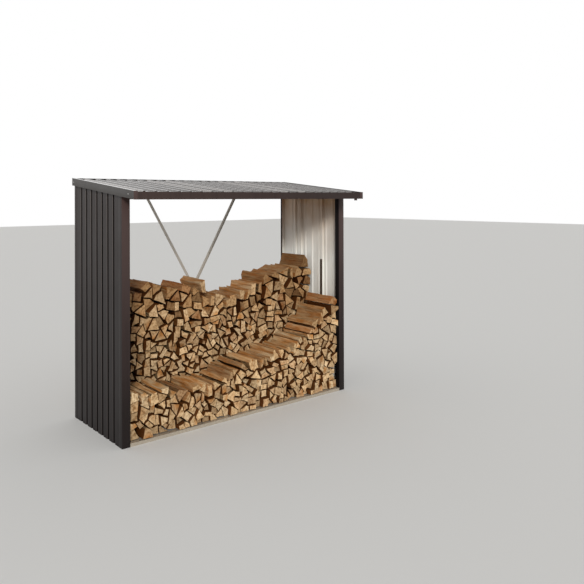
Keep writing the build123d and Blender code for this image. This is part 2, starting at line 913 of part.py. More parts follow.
def fill_hollows(laid, x_limit, dice):
    """Let each log reach out, half way to its neighbours at most, so that the logs fill the row."""
    grown = []
    for log in laid:
        left, right = x_range(log)
        low, high = min(z for _, z in log), max(z for _, z in log)
        left, right = max(left - log_growth, -x_limit), min(right + log_growth, x_limit)
        low, high = max(low - log_growth, base_height + log_gap), high + log_growth
        shape = [(left, low), (right, low), (right, high), (left, high)]
        for direction, reach in sides_of(log):
            shape = cut_off(shape, direction, reach + log_growth)
        for other in laid:
            other_left, other_right = x_range(other)
            if other is not log and other_left < right + log_growth and other_right > left - log_growth:
                if min(z for _, z in other) < high + log_growth and max(z for _, z in other) > low - log_growth:
                    direction, middle = parting_line(log, other)
                    shape = cut_off(shape, direction, middle - log_gap / 2)
        grown.append(without_small_corners(shape, dice.choice((4, 4, 5, 5))))
    return grown


def stack_row(profile, x_limit, dice):
    """End views of all logs in a row, each laid at the lowest place that is still to be filled."""
    count = int(2 * x_limit / stack_step)
    skyline = [base_height] * (count + 1)
    wanted = [profile_height(profile, 2 * index / count - 1) for index in range(count + 1)]
    laid = []
    while True:
        left_open = [
            index
            for index in range(count + 1)
            if wanted[index] - skyline[index] > least_fill * log_size_at(skyline[index])
        ]
        if not left_open:
            break
        spot = min(left_open, key=lambda index: skyline[index])
        corners, start = best_log(skyline, spot, dice)
        log = shifted(corners, start * stack_step - x_limit - x_range(corners)[0], 0.0)
        log = shifted(log, 0.0, rise_onto(log, laid))
        spans = spans_of(log)
        middle = sum((low + high) / 2 for low, high in spans) / len(spans)
        if middle > wanted[start + len(spans) // 2] - least_fill / 2 * log_size_at(skyline[spot]):
            wanted[spot] = skyline[spot]
        else:
            laid.append(log)
            for index, (_, high) in enumerate(spans):
                skyline[start + index] = max(skyline[start + index], high)
    for _ in range(growth_rounds):
        laid = fill_hollows(laid, x_limit, dice)
    return laid


def log_piece(outline, face_y, length):
    """One split log lying along the depth of the store."""
    with BuildPart() as log:
        with BuildSketch(Plane.XZ.offset(-face_y)):
            with BuildLine():
                Polyline(*outline, close=True)
            make_face()
        extrude(amount=-length)
    return log.part


def row_nodes(profile, x_limit, row_y, names):
    """Share a row's logs out, by their place along the width, over its named nodes."""
    dice = random.Random(log_seed + len(names))
    shares = {name: [] for name in names}
    for outline in stack_row(profile, x_limit, dice):
        middle_x = sum(x for x, _ in outline) / len(outline)
        share = int((middle_x + x_limit) / (2 * x_limit) * len(names))
        face_y = row_y + dice.uniform(-log_face_spread, log_face_spread)
        length = log_length + dice.uniform(-log_length_spread, log_length_spread)
        shares[names[share]].append(log_piece(outline, face_y, length))
    return shares


def firewood(logs):
    """All logs of one node as one part."""
    with BuildPart() as pile:
        add(logs)
    return pile.part


# Make and write every piece

export_piece(front_sill(), "front_sill")
export_piece(rear_base_rail(), "rear_base_rail")
export_piece(log_bearers(), "log_bearers")
for side in (-1, 1):
    name = side_name(side)
    export_piece(side_base_rail(side), f"{name}_base_rail")
    export_piece(front_post(side), f"{name}_front_post")
    export_piece(rear_post(side), f"{name}_rear_post")
    export_piece(wall_panel(side, wall_front_y + seat, wall_seam_y - seat / 2), f"{name}_wall_front_panel")
    export_piece(wall_panel(side, wall_seam_y + seat / 2, wall_back_y), f"{name}_wall_rear_panel")
    export_piece(stiffener(side, front_stiffener_from_front), f"{name}_front_stiffener")
    export_piece(stiffener(side, rear_stiffener_from_front), f"{name}_rear_stiffener")
    export_piece(wall_strip(side), f"{name}_wall_strip")
    export_piece(top_rail(side), f"{name}_top_rail")
    export_piece(rafter(side), f"{name}_rafter")
    export_piece(roof_panel(side_roof_points(side)), f"{name}_roof_panel")
    export_piece(verge_trim(side), f"{name}_verge_trim")
    export_piece(corner_cap(side), f"{name}_corner_cap")
export_piece(front_header(), "front_header")
export_piece(rear_top_rail(), "rear_top_rail")
export_piece(roof_panel(middle_roof_points()), "middle_roof_panel")
export_piece(rear_trim(), "rear_trim")
export_piece(front_gutter(), "front_gutter")
export_piece(gutter_outlet(), "gutter_outlet")

export_piece(brace(-1, back_brace_y, 1), "left_brace")
export_piece(brace(1, front_brace_y, -1), "right_brace")

front_row = row_nodes(
    front_row_profile,
    post_inner_x - seat,
    front_row_y,
    ("front_row_left_logs", "front_row_middle_logs", "front_row_right_logs"),
)
back_row = row_nodes(
    back_row_profile,
    wall_inner_x - back_row_side_gap,
    back_row_y,
    (
        "back_row_left_logs",
        "back_row_mid_left_logs",
        "back_row_mid_right_logs",
        "back_row_right_logs",
    ),
)
for name, logs in {**front_row, **back_row}.items():
    export_piece(firewood(logs), name)
    print(name, len(logs), "logs")
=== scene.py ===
# %% [markdown]
# # A steel log store with its firewood
#
# A log store is a small open shed: folded sheet steel keeps the rain off, and air passes through the
# open front and back so that the split wood dries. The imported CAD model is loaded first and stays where
# it is. Each Blender piece is made in the same metres and the same frame, so nothing has to be fitted.

# %% Load the frame
import json
import math
import random

import bmesh
import bpy
from mathutils import Matrix, Vector, noise


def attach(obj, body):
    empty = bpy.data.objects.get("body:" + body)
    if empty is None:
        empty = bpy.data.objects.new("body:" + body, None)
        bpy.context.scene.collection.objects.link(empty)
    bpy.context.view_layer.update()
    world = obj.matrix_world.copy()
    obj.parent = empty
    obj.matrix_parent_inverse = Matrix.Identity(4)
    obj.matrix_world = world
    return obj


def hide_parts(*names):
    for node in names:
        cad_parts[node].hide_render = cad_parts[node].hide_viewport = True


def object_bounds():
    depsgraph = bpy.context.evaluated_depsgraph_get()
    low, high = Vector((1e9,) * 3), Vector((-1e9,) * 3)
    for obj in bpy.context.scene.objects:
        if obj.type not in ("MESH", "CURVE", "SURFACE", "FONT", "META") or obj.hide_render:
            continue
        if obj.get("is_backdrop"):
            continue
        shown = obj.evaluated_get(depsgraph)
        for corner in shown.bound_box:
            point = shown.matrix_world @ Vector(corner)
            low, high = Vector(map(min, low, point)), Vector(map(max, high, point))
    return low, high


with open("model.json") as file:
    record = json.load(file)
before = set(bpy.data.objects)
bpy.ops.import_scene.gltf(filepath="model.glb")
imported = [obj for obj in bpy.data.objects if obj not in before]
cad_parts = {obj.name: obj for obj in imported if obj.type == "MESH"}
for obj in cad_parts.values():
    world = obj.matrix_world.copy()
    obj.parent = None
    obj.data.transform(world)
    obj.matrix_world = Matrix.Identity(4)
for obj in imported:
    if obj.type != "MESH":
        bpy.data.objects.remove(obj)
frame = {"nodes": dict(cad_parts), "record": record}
cad_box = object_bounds()
print("CAD nodes", len(frame["nodes"]), "box", [tuple(round(v, 3) for v in corner) for corner in cad_box])

# %% [markdown]
# ## Camera
#
# The store was photographed from its front left corner at head height. Lens and place come from edges of
# the posts and the roof that can be measured in the picture. The horizon lies high in the square picture,
# which is what the vertical shift is for. A tilted camera would make the posts lean, so it is all but level.

# %% Camera
picture_side = 584.0
focal_pixels = 637.07
horizon_row = 196.7
sensor_width = 36.0
eye = (-3.1424, -4.6658, 1.8134)
yaw = -0.697
tilt = 0.003
roll = -0.003
camera_data = bpy.data.cameras.new("camera")
camera_data.sensor_width = sensor_width
camera_data.lens = sensor_width * focal_pixels / picture_side
camera_data.shift_y = -(picture_side / 2.0 - horizon_row) / picture_side
camera = bpy.data.objects.new("camera", camera_data)
bpy.context.scene.collection.objects.link(camera)
camera.location = eye
heading = Matrix.Rotation(yaw, 4, "Z") @ Matrix.Rotation(math.pi / 2 + tilt, 4, "X")
camera.rotation_euler = (heading @ Matrix.Rotation(roll, 4, "Z")).to_euler()
bpy.context.scene.camera = camera
print("lens", round(camera_data.lens, 2), "mm, shift", round(camera_data.shift_y, 4))

# %% [markdown]
# ## Floor and light
#
# The floor is pale and plain, so that the store's own colours count. The world is a soft white dome, and a
# sun with a wide disc stands for the low light from the front left that falls into the open front. Both
# together light a surface that faces them by about one, so a colour renders about as it is written. What
# the camera and mirror reflections see of the world is white, but that adds no light to the wood. The
# sun lights the colours and leaves no glint of its own on the paint.

# %% Floor
floor_size = 80.0
pale_grey = (0.78, 0.78, 0.77, 1.0)
bpy.ops.mesh.primitive_plane_add(size=floor_size)
floor = bpy.context.object
floor.name = "floor"
floor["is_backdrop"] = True
floor_material = bpy.data.materials.new("pale_floor")
floor_material.use_nodes = True
floor_shader = floor_material.node_tree.nodes["Principled BSDF"]
floor_shader.inputs["Base Color"].default_value = pale_grey
floor_shader.inputs["Roughness"].default_value = 0.9
floor_shader.inputs["Specular IOR Level"].default_value = 0.1
floor.data.materials.append(floor_material)
print("floor", floor_size, "m")

# %% World
white = (1.0, 1.0, 1.0, 1.0)
dome_strength = 0.5
world = bpy.data.worlds.new("soft_white_dome")
world.use_nodes = True
tree = world.node_tree
dome = tree.nodes["Background"]
dome.inputs["Color"].default_value = white
dome.inputs["Strength"].default_value = dome_strength
backdrop = tree.nodes.new("ShaderNodeBackground")
backdrop.inputs["Color"].default_value = white
rays = tree.nodes.new("ShaderNodeLightPath")
either = tree.nodes.new("ShaderNodeMath")
either.operation = "MAXIMUM"
tree.links.new(rays.outputs["Is Camera Ray"], either.inputs[0])
tree.links.new(rays.outputs["Is Glossy Ray"], either.inputs[1])
chosen = tree.nodes.new("ShaderNodeMixShader")
tree.links.new(either.outputs[0], chosen.inputs[0])
tree.links.new(dome.outputs[0], chosen.inputs[1])
tree.links.new(backdrop.outputs[0], chosen.inputs[2])
tree.links.new(chosen.outputs[0], tree.nodes["World Output"].inputs["Surface"])
bpy.context.scene.world = world
bpy.context.scene.view_settings.view_transform = "Standard"
print("dome", dome_strength)

# %% Sun
sun_strength = 2.0
sun_width = 0.2
sun_colour = (1.0, 0.97, 0.92)
sunlight_goes = Vector((0.66, 1.0, -0.47))
sun_data = bpy.data.lights.new("low_sun", "SUN")
sun_data.energy = sun_strength
sun_data.angle = sun_width
sun_data.color = sun_colour
sun = bpy.data.objects.new("low_sun", sun_data)
sun.rotation_euler = sunlight_goes.to_track_quat("-Z", "Y").to_euler()
sun.visible_glossy = False
bpy.context.scene.collection.objects.link(sun)
print("sun", sun_strength)

# %% [markdown]
# ## Building materials from nodes
#
# A finish is a small tree of nodes around one Principled shader. Two helpers keep the trees readable: one
# adds a node and wires it up, the other mixes two colours. Patterns read object coordinates, which are
# metres here, so a scale of 100 means detail of about a centimetre.

# %% Node helpers
def new_finish(name, roughness, metallic=0.0, specular=0.5):
    """A material with one Principled shader; what is the same all over sits on its own sockets."""
    material = bpy.data.materials.new(name)
    material.use_nodes = True
    shader = material.node_tree.nodes["Principled BSDF"]
    shader.inputs["Roughness"].default_value = roughness
    shader.inputs["Metallic"].default_value = metallic
    shader.inputs["Specular IOR Level"].default_value = specular
    return material, shader


def add(material, kind, inputs, **settings):
    """Add one node. Each input is a plain value or another node's output socket."""
    node = material.node_tree.nodes.new(kind)
    for name, value in settings.items():
        setattr(node, name, value)
    for name, value in inputs.items():
        if isinstance(value, bpy.types.NodeSocket):
            material.node_tree.links.new(value, node.inputs[name])
        else:
            node.inputs[name].default_value = value
    return node


def mixed(material, share, first, second, mode="MIX"):
    """Colour between two colours."""
    inputs = {0: share, 6: first, 7: second}
    return add(material, "ShaderNodeMix", inputs, data_type="RGBA", blend_type=mode).outputs[2]


def mapped(material, value, low, high, to_low, to_high):
    """A value stretched from one range to another, and held at its ends."""
    inputs = {"Value": value, "From Min": low, "From Max": high, "To Min": to_low, "To Max": to_high}
    return add(material, "ShaderNodeMapRange", inputs).outputs[0]


def noise_of(material, vector, scale, detail=3.0, stretch=(1.0, 1.0, 1.0)):
    """Noise over the object's own metres, stretched along an axis where its number is small."""
    placed = add(material, "ShaderNodeMapping", {"Vector": vector, "Scale": stretch}).outputs[0]
    inputs = {"Vector": placed, "Scale": scale, "Detail": detail, "Roughness": 0.6}
    return add(material, "ShaderNodeTexNoise", inputs).outputs[0]


def metres(material):
    """The object's own coordinates."""
    return add(material, "ShaderNodeTexCoord", {}).outputs["Object"]


def bumped(material, shader, layers):
    """Raise the surface by several heights, each a (height, distance, strength)."""
    normal = None
    for height, distance, strength in layers:
        inputs = {"Height": height, "Distance": distance, "Strength": strength}
        if normal is not None:
            inputs["Normal"] = normal
        normal = add(material, "ShaderNodeBump", inputs).outputs[0]
    material.node_tree.links.new(normal, shader.inputs["Normal"])


def wire(material, value, shader, socket):
    """Link an output to one of the shader's sockets."""
    material.node_tree.links.new(value, shader.inputs[socket])


print("node helpers ready")

# %% [markdown]
# ## The sheet steel's finishes
#
# The sheets come from a coil that is painted brown on one side and off-white on the other. Paint on thin
# sheet is satin and never quite flat: large shallow waves break up its reflections, and rain leaves faint
# streaks down it. Most paints fade from one tone to another along the store, which is painted light and
# shade. The grooves get a darker paint of their own, painted shade in their depths. The roof is washed by
# every rain, so its paint keeps a clear top coat: it is dark from above, and pale where it is seen along
# the sheet.

# %% Painted steel
def painted_steel(
    name, high, low, roughness=0.4, specular=0.4, soiling=(0.5, 0.5, 0.5, 1.0), rise=(0.2, 2.1), along="Z"
):
    """Coil-coated sheet that fades from a low to a high tone along an axis as painted light and shade, with
    rain streaks and waves.
    """
    material, shader = new_finish(name, roughness, specular=specular)
    place = metres(material)
    cloud = noise_of(material, place, scale=2.2, detail=3.0)
    streak = noise_of(material, place, scale=26.0, detail=3.0, stretch=(1.0, 1.0, 0.05))
    way = add(material, "ShaderNodeSeparateXYZ", {"Vector": place}).outputs[along]
    drift = add(material, "ShaderNodeMath", {0: cloud, 1: 0.5, 2: way}, operation="MULTIPLY_ADD").outputs[0]
    colour = mixed(material, mapped(material, drift, rise[0], rise[1], 0.0, 1.0), low, high)
    soiled = mixed(material, 1.0, colour, soiling, "MULTIPLY")
    colour = mixed(material, mapped(material, streak, 0.5, 0.75, 0.0, 0.5), colour, soiled)
    wire(material, colour, shader, "Base Color")
    dullness = mapped(material, cloud, 0.3, 0.7, roughness - 0.05, roughness + 0.07)
    wire(material, dullness, shader, "Roughness")
    waves = noise_of(material, place, scale=3.5, detail=1.0)
    peel = noise_of(material, place, scale=700.0, detail=2.0)
    bumped(material, shader, [(waves, 0.012, 0.25), (peel, 0.0003, 0.12)])
    return material


print("painted steel ready")

# %% [markdown]
# The real store has one brown, and its tones here are painted light and shade. The front, the shaded inner
# faces, the fascia, the walls, their grooves and lips and the verges each have their own tone of it, the
# brown as the light falls on them, and the roof has its own tone too. The off-white side darkens close
# under the roof, a painted shade where no sun comes.

# %% Paints of the front, the walls and the verges
# The front's brown, lighter high up and nearly black at the foot: painted light and shade.
front_paint = painted_steel(
    "umber_paint",
    (0.071, 0.044, 0.040, 1.0),
    (0.012, 0.008, 0.0075, 1.0),
    roughness=0.42,
    specular=0.25,
    rise=(0.5, 2.1),
)
# Faces turned in get a painted shade of the same brown.
shade_paint = painted_steel(
    "painted_shade_umber",
    (0.012, 0.009, 0.009, 1.0),
    (0.006, 0.005, 0.005, 1.0),
    roughness=0.6,
    specular=0.08,
)
# The fascia is lighter at its left end and darker at its right: painted light and shade along it.
fascia_right_shade = (0.027, 0.016, 0.014, 1.0)
fascia_left_light = (0.048, 0.030, 0.026, 1.0)
fascia_paint = painted_steel(
    "fascia_paint",
    fascia_right_shade,
    fascia_left_light,
    roughness=0.42,
    specular=0.25,
    rise=(-0.9, 0.9),
    along="X",
)
# The walls' sides: a greyer, darker copy of the front's brown as painted shade, lighter towards the top as
# painted light.
wall_paint = painted_steel(
    "grey_umber_paint",
    (0.040, 0.034, 0.033, 1.0),
    (0.014, 0.011, 0.011, 1.0),
    roughness=0.5,
    specular=0.2,
)
verge_paint = painted_steel(
    "verge_paint",
    (0.048, 0.043, 0.040, 1.0),
    (0.039, 0.034, 0.032, 1.0),
    roughness=0.4,
    specular=0.3,
)
# Painted shade for the depths of the grooves.
painted_groove_shade = painted_steel(
    "painted_groove_shade",
    (0.004, 0.0033, 0.003, 1.0),
    (0.003, 0.0025, 0.0025, 1.0),
    roughness=0.9,
    specular=0.0,
)
# A painted highlight for the lips of the grooves.
painted_lip_highlight = painted_steel(
    "painted_lip_highlight",
    (0.11, 0.096, 0.09, 1.0),
    (0.04, 0.034, 0.032, 1.0),
    roughness=0.45,
    specular=0.3,
)
print("brown paints", front_paint.name, wall_paint.name, verge_paint.name)

# %% Paints of the roof, the inside and the strips
roof_brown = (0.082, 0.070, 0.063, 1.0)
roof_paint = painted_steel("roof_paint", roof_brown, roof_brown, roughness=0.3, specular=0.35)
# A pale paint for the ribs by the overlaps, the strips along the verges and the verge tops: a painted
# highlight.
highlight_grey = (0.25, 0.23, 0.217, 1.0)
seam_paint = painted_steel("painted_seam_highlight", highlight_grey, highlight_grey, roughness=0.3, specular=0.35)
for rain_washed in (roof_paint, seam_paint):
    shader = rain_washed.node_tree.nodes["Principled BSDF"]
    shader.inputs["Coat Weight"].default_value = 1.0
    shader.inputs["Coat Roughness"].default_value = 0.03
    shader.inputs["Coat IOR"].default_value = 1.55
# Close under the roof the off-white fades to a brown painted shade.
painted_roof_shade = (0.41, 0.242, 0.122, 1.0)
off_white = (0.90, 0.90, 0.86, 1.0)
faint_soil = (0.88, 0.86, 0.82, 1.0)
offwhite_paint = painted_steel(
    "offwhite_paint",
    painted_roof_shade,
    off_white,
    roughness=0.5,
    specular=0.4,
    soiling=faint_soil,
    rise=(1.5, 2.1),
)
strip_paint = painted_steel(
    "strip_paint",
    (0.09, 0.066, 0.052, 1.0),
    (0.07, 0.052, 0.041, 1.0),
    roughness=0.5,
    specular=0.2,
)
print("other paints", roof_paint.name, seam_paint.name, offwhite_paint.name, strip_paint.name)

# %% [markdown]
# Galvanised steel shows its zinc crystals. A Voronoi texture gives each crystal its own grey and its own
# dullness, which is how the real ones differ: they lie at different angles to the light.

# %% Zinc
def zinc_coat(name, light, dark, crystals):
    """Hot-dipped zinc, dull with age, in crystals of about a centimetre."""
    material, shader = new_finish(name, 0.5, metallic=0.55)
    place = metres(material)
    inputs = {"Vector": place, "Scale": crystals}
    cells = add(material, "ShaderNodeTexVoronoi", inputs).outputs["Color"]
    grey = add(material, "ShaderNodeSeparateColor", {"Color": cells}).outputs[0]
    stain = noise_of(material, place, scale=5.0, detail=4.0)
    colour = mixed(material, grey, dark, light)
    colour = mixed(material, mapped(material, stain, 0.5, 0.75, 0.0, 0.5), colour, dark)
    wire(material, colour, shader, "Base Color")
    wire(material, mapped(material, grey, 0.0, 1.0, 0.42, 0.6), shader, "Roughness")
    bumped(material, shader, [(noise_of(material, place, scale=300.0, detail=2.0), 0.0003, 0.2)])
    return material


zinc = zinc_coat("zinc", (0.60, 0.60, 0.58, 1.0), (0.40, 0.40, 0.385, 1.0), crystals=90.0)
old_zinc = zinc_coat("weathered_zinc", (0.56, 0.50, 0.415, 1.0), (0.44, 0.385, 0.305, 1.0), crystals=220.0)
brace_zinc = zinc_coat("brace_zinc", (0.66, 0.62, 0.56, 1.0), (0.53, 0.49, 0.43, 1.0), crystals=220.0)
rivet_zinc = zinc_coat("rivet_zinc", (0.9, 0.9, 0.88, 1.0), (0.8, 0.8, 0.78, 1.0), crystals=90.0)
print("zinc", zinc.name, old_zinc.name, rivet_zinc.name)

# %% [markdown]
# ## The wood's finishes
#
# A split log shows three surfaces. The sawn end has growth rings round the pith, fine saw marks and short
# drying cracks that point to the pith. The split side has long torn fibres. The bark is dark and ridged.
# Every log carries its own tone and the place of its own pith as attributes, so that one material can
# paint hundreds of logs without two looking alike.

# %% Sawn ends
def sawn_end():
    """End grain: rings and cracks about the pith, in the log's own tone."""
    material, shader = new_finish("sawn_end", 0.85, specular=0.1)
    place = metres(material)
    tone = add(material, "ShaderNodeAttribute", {}, attribute_name="tone")
    pith = add(material, "ShaderNodeAttribute", {}, attribute_name="pith").outputs["Vector"]
    from_pith = add(material, "ShaderNodeVectorMath", {0: place, 1: pith}, operation="SUBTRACT").outputs[0]
    no_depth = {0: from_pith, 1: (1.0, 0.0, 1.0)}
    across = add(material, "ShaderNodeVectorMath", no_depth, operation="MULTIPLY")
    reach = add(material, "ShaderNodeVectorMath", {0: across.outputs[0]}, operation="LENGTH").outputs["Value"]
    parts = add(material, "ShaderNodeSeparateXYZ", {"Vector": from_pith})
    sides = {0: parts.outputs["X"], 1: parts.outputs["Z"]}
    turn = add(material, "ShaderNodeMath", sides, operation="ARCTAN2")

    wobble = noise_of(material, place, scale=40.0, detail=2.0)
    uneven = {0: wobble, 1: 0.012, 2: reach}
    bent = add(material, "ShaderNodeMath", uneven, operation="MULTIPLY_ADD").outputs[0]
    turns_a_metre = 1700.0
    year = add(material, "ShaderNodeMath", {0: bent, 1: turns_a_metre}, operation="MULTIPLY").outputs[0]
    ring = add(material, "ShaderNodeMath", {0: year}, operation="SINE").outputs[0]

    rays_at = add(material, "ShaderNodeCombineXYZ", {"X": turn.outputs[0], "Y": reach})
    crack_noise = noise_of(material, rays_at.outputs[0], scale=16.0, detail=3.0, stretch=(1.0, 0.8, 1.0))
    crack = mapped(material, crack_noise, 0.63, 0.70, 0.0, 1.0)
    saw = noise_of(material, place, scale=120.0, detail=3.0, stretch=(1.0, 1.0, 0.3))
    blotch = noise_of(material, place, scale=48.0, detail=4.0)

    base = tone.outputs["Color"]
    warm = mixed(material, 1.0, base, (0.80, 0.52, 0.30, 1.0), "MULTIPLY")
    near_pith = {0: mapped(material, reach, 0.012, 0.05, 1.0, 0.0), 1: tone.outputs["Alpha"]}
    heart = add(material, "ShaderNodeMath", near_pith, operation="MULTIPLY").outputs[0]
    colour = mixed(material, heart, base, warm)
    shade = mapped(material, ring, -1.0, 1.0, 0.0, 0.16)
    colour = mixed(material, shade, colour, warm)
    dull = mixed(material, 1.0, base, (0.42, 0.30, 0.19, 1.0), "MULTIPLY")
    fresh = mixed(material, 1.0, colour, (1.25, 1.27, 1.30, 1.0), "MULTIPLY")
    colour = mixed(material, mapped(material, blotch, 0.3, 0.5, 1.0, 0.0), colour, fresh)
    colour = mixed(material, mapped(material, blotch, 0.5, 0.66, 0.0, 0.85), colour, dull)
    colour = mixed(material, mapped(material, saw, 0.48, 0.7, 0.0, 0.45), colour, dull)
    colour = mixed(material, crack, colour, (0.05, 0.03, 0.018, 1.0))
    wire(material, colour, shader, "Base Color")
    bumped(material, shader, [(crack, -0.002, 0.6), (saw, 0.0008, 0.5), (ring, 0.0003, 0.3)])
    return material


end_wood = sawn_end()
print("sawn ends", end_wood.name)

# %% Split sides
def split_side():
    """Torn long grain: fibres that run the length of the log, with darker bands and slivers."""
    material, shader = new_finish("split_side", 0.8, specular=0.15)
    place = metres(material)
    tone = add(material, "ShaderNodeAttribute", {}, attribute_name="tone").outputs["Color"]
    band = noise_of(material, place, scale=30.0, detail=4.0, stretch=(1.0, 0.15, 1.0))
    fibre = noise_of(material, place, scale=95.0, detail=5.0, stretch=(1.0, 0.05, 1.0))
    deep = mixed(material, 1.0, tone, (0.80, 0.50, 0.27, 1.0), "MULTIPLY")
    colour = mixed(material, mapped(material, band, 0.35, 0.62, 0.0, 1.0), tone, deep)
    dark = mixed(material, 1.0, tone, (0.30, 0.17, 0.09, 1.0), "MULTIPLY")
    colour = mixed(material, mapped(material, fibre, 0.49, 0.62, 0.0, 0.55), colour, dark)
    # Sides of logs that are not on top fade towards unlit: painted shade of the deep joints.
    daylight = add(material, "ShaderNodeAttribute", {}, attribute_name="daylight").outputs["Fac"]
    unlit = mixed(material, 1.0, tone, (0.19, 0.095, 0.042, 1.0), "MULTIPLY")
    colour = mixed(material, daylight, unlit, colour)
    wire(material, colour, shader, "Base Color")
    bumped(material, shader, [(band, 0.012, 0.7), (fibre, -0.006, 0.9)])
    return material


side_wood = split_side()
print("split sides", side_wood.name)

# %% Bark
def bark_side():
    """Bark: furrowed plates that run along the log, brown to a mossy grey."""
    material, shader = new_finish("bark", 0.9, specular=0.15)
    place = metres(material)
    tone = add(material, "ShaderNodeAttribute", {}, attribute_name="tone").outputs["Color"]
    plates = noise_of(material, place, scale=60.0, detail=4.0, stretch=(1.0, 0.22, 1.0))
    patch = noise_of(material, place, scale=11.0, detail=3.0)
    brown = mixed(material, 1.0, tone, (0.33, 0.26, 0.20, 1.0), "MULTIPLY")
    grey = mixed(material, 1.0, tone, (0.47, 0.46, 0.42, 1.0), "MULTIPLY")
    colour = mixed(material, mapped(material, patch, 0.4, 0.65, 0.0, 1.0), brown, grey)
    furrow = mapped(material, plates, 0.36, 0.5, 1.0, 0.0)
    colour = mixed(material, furrow, colour, (0.022, 0.016, 0.012, 1.0))
    wire(material, colour, shader, "Base Color")
    bumped(material, shader, [(plates, 0.01, 0.9)])
    return material


bark = bark_side()
print("bark", bark.name)

# %% [markdown]
# ## Copies of the CAD's shapes
#
# A CAD node comes as loose triangles. A copy with its doubles merged and its flat faces made whole again
# is a clean start for bevels. The copy then stands for the node, which itself is never changed.

# %% Copy, finish and place a piece
same_place = 0.00001


def copy_of(node):
    """A merged copy of a node's mesh, with its flat faces whole again."""
    shape = bmesh.new()
    shape.from_mesh(frame["nodes"][node].data)
    bmesh.ops.remove_doubles(shape, verts=shape.verts, dist=same_place)
    bmesh.ops.dissolve_limit(shape, angle_limit=math.radians(1.0), verts=shape.verts, edges=shape.edges)
    return shape


def smooth_but_for_edges(shape, degrees=32.0):
    """Shade a mesh smooth and keep its real edges sharp."""
    for face in shape.faces:
        face.smooth = True
    for edge in shape.edges:
        edge.smooth = len(edge.link_faces) == 2 and edge.calc_face_angle(0.0) < math.radians(degrees)


def place_piece(shape, name, materials, replaced=()):
    """Turn a bmesh into a finished piece that rides with the store."""
    mesh = bpy.data.meshes.new(name)
    shape.to_mesh(mesh)
    shape.free()
    for material in materials:
        mesh.materials.append(material)
    piece = bpy.data.objects.new(name, mesh)
    bpy.context.scene.collection.objects.link(piece)
    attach(piece, "root")
    if replaced:
        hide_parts(*replaced)
    return piece


def eased(shape, width, segments=2, least_angle=40.0, wanted=None):
    """Round the sharp edges of a copy, as a press brake leaves them."""
    sharp = [
        edge
        for edge in shape.edges
        if len(edge.link_faces) == 2 and edge.calc_face_angle(0.0) > math.radians(least_angle)
    ]
    if wanted is not None:
        sharp = [edge for edge in sharp if wanted(edge)]
    bmesh.ops.bevel(
        shape,
        geom=sharp,
        offset=width,
        segments=segments,
        profile=0.5,
        affect="EDGES",
        material=-1,
        clamp_overlap=True,
    )


test = copy_of("left_front_post")
print("a post has", len(test.faces), "flat faces")
test.free()

# %% [markdown]
# ## Walls
#
# Each wall sheet is brown outside and off-white inside, with narrow grooves pressed in. The two paints
# meet only at a cut edge, so a copy of the sheet gets a material by which way each face looks: away from
# the middle of the store is outside, and so is the outer face of the flanges that are folded in. Each groove
# gets a painted highlight on its lip and painted shade in its depth, so each flank is cut in two there.

# %% Wall sheets
lip_depth = 0.0028
pan_ripple = 0.001
looks_out = 0.05
slant = 0.2
square = 0.95
hair = 0.0001
outside_index = 0
groove_shade_index = 1
inside_index = 2
lip_highlight_index = 3


def dress_wall(side, part):
    """Copy of a wall sheet: paint outside, a painted highlight on the groove lips and painted shade in their
    depths, off-white inside.
    """
    node = f"{side}_wall_{part}_panel"
    shape = copy_of(node)
    outwards = -1.0 if side == "left" else 1.0
    outer = max(vert.co.x * outwards for vert in shape.verts)
    ends_y = [pick(vert.co.y for vert in shape.verts) for pick in (min, max)]
    lip_x = (outer - lip_depth) * outwards
    flanks = [
        face
        for face in shape.faces
        if slant < abs(face.normal.y) < square and face.normal.x * outwards > looks_out
    ]
    cut_through = flanks + list({edge for face in flanks for edge in face.edges})
    bmesh.ops.bisect_plane(shape, geom=cut_through, plane_co=(lip_x, 0.0, 0.0), plane_no=(1.0, 0.0, 0.0))
    for face in shape.faces:
        middle = face.calc_center_median()
        sunk = outer - middle.x * outwards
        on_flange = min(abs(middle.y - end_y) for end_y in ends_y) < hair
        if face.normal.x * outwards < looks_out and not on_flange:
            face.material_index = inside_index
        elif sunk > pan_ripple and face.normal.y < -slant:
            face.material_index = lip_highlight_index if sunk < lip_depth else groove_shade_index
        else:
            face.material_index = outside_index
    smooth_but_for_edges(shape, degrees=12.0)
    paints = [wall_paint, painted_groove_shade, offwhite_paint, painted_lip_highlight]
    place_piece(shape, f"{side}_{part}_wall_sheet", paints, (node,))


for side in ("left", "right"):
    for part in ("front", "rear"):
        dress_wall(side, part)
print("wall sheets dressed")

# %% [markdown]
# ## Posts, trims and rails
#
# These are folded from the same brown sheet. Their bends have a radius of up to two millimetres, which
# shows as a thin line of light along each corner. A small bevel on the copied shape gives that line. The
# verge trims lie a hair further in than the CAD's, so that their rivets don't make the store wider.

# %% Brown steelwork
mostly = 0.7
verge_edge = 1.1449
verge_face = 1.1446
fold_radius = 0.0004
shortest_bend = 0.02
shortest_fold = 0.1
brown_work = {
    "left_front_post": 0.0022,
    "right_front_post": 0.0022,
    "left_rear_post": 0.0006,
    "right_rear_post": 0.0006,
    "left_corner_cap": fold_radius,
    "right_corner_cap": fold_radius,
}
for node, width in brown_work.items():
    shape = copy_of(node)
    # Front faces get the front's tone, faces that look out the side's shaded tone, and faces that look in
    # painted shade.
    for face in shape.faces:
        outwards = face.normal.x * math.copysign(1.0, face.calc_center_median().x)
        face.material_index = 1 if outwards > mostly else 2 if outwards < -mostly else 0
    eased(shape, width, wanted=lambda edge: edge.calc_length() > shortest_bend)
    smooth_but_for_edges(shape)
    side_paint = verge_paint if "cap" in node else wall_paint
    place_piece(shape, f"{node}_work", [front_paint, side_paint, shade_paint], (node,))
